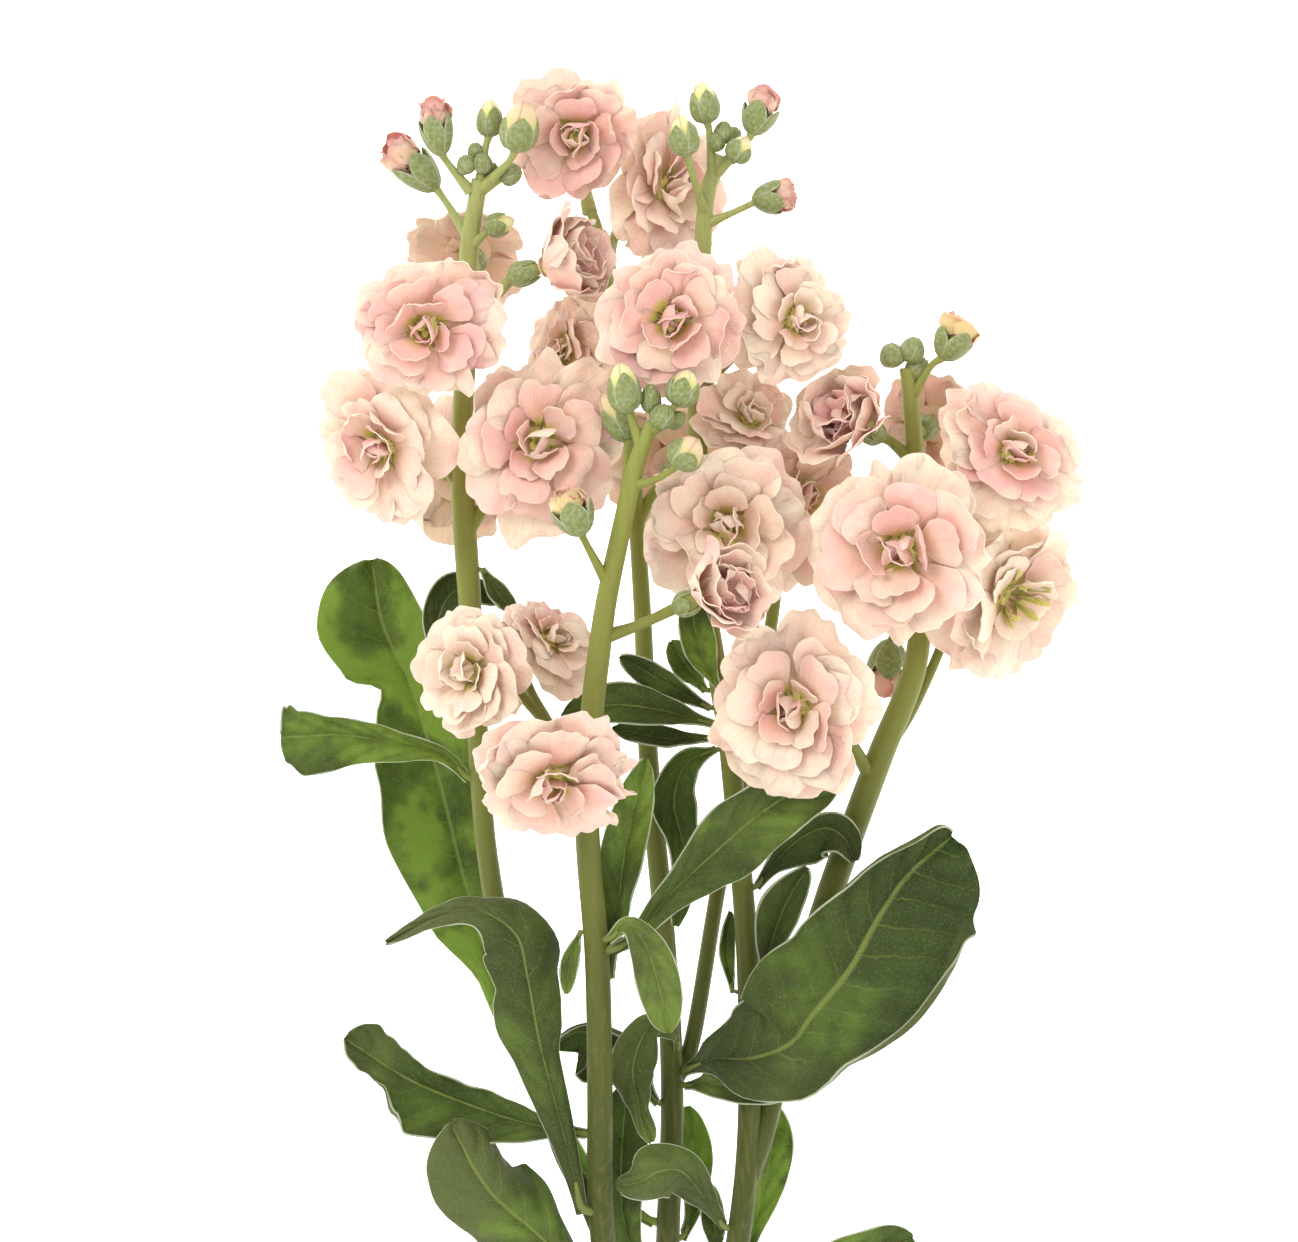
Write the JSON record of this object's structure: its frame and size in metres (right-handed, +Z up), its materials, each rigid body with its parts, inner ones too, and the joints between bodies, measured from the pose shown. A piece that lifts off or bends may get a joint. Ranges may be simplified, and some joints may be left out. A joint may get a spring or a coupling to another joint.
{
  "type": "stock flower stem",
  "caption": "Cut stem of double stock flowers: a branched spray of ruffled peach and pink blooms with buds and grey-green leaves, lying on its back.",
  "frame": {"origin": "on the surface that the stem lies on, under the middle of its cut end", "axes": "+Y from the cut end towards the flowers, +X to the right as seen from above with the flowers at the top, +Z up, away from the surface and towards the viewer"},
  "size_m": [0.195, 0.4481, 0.111],
  "materials": {
    "petals_pink": "soft matt",
    "petals_peach": "soft matt",
    "petals_cream": "soft matt",
    "leaves": "satin, finely felted",
    "stem": "satin"
  },
  "bodies": {
    "root": {"stem": "stem", "bloom_01": "petals_pink", "bloom_02": "petals_peach", "bloom_03": "petals_pink", "bloom_04": "petals_pink", "bloom_05": "petals_pink", "bloom_06": "petals_pink", "bloom_07": "petals_cream", "bloom_08": "petals_cream", "bloom_09": "petals_peach", "bloom_10": "petals_peach", "bloom_11": "petals_pink", "bloom_12": "petals_peach", "bloom_13": "petals_pink", "bloom_14": "petals_peach", "bloom_15": "petals_peach", "bloom_16": "petals_cream", "bloom_17": "petals_pink", "bloom_18": "petals_cream", "bloom_19": "petals_cream", "bloom_20": "petals_peach", "bloom_21": "petals_peach", "bloom_22": "petals_peach", "bloom_23": "petals_pink", "bloom_24": "petals_peach", "bloom_25": "petals_peach", "bloom_26": "petals_cream", "leaf_01": "leaves", "leaf_02": "leaves", "leaf_03": "leaves", "leaf_04": "leaves", "leaf_05": "leaves", "leaf_06": "leaves", "leaf_07": "leaves", "leaf_08": "leaves", "leaf_09": "leaves", "leaf_10": "leaves", "leaf_11": "leaves", "leaf_12": "leaves", "leaf_13": "leaves", "leaf_14": "leaves", "leaf_15": "leaves", "leaf_16": "leaves", "leaf_17": "leaves", "leaf_18": "leaves", "leaf_19": "leaves", "leaf_20": "leaves", "leaf_21": "leaves", "leaf_22": "leaves", "leaf_23": "leaves", "leaf_24": "leaves", "leaf_25": "leaves", "leaf_26": "leaves", "leaf_27": "leaves", "leaf_28": "leaves", "leaf_29": "leaves", "leaf_30": "leaves"}
  },
  "joints": []
}
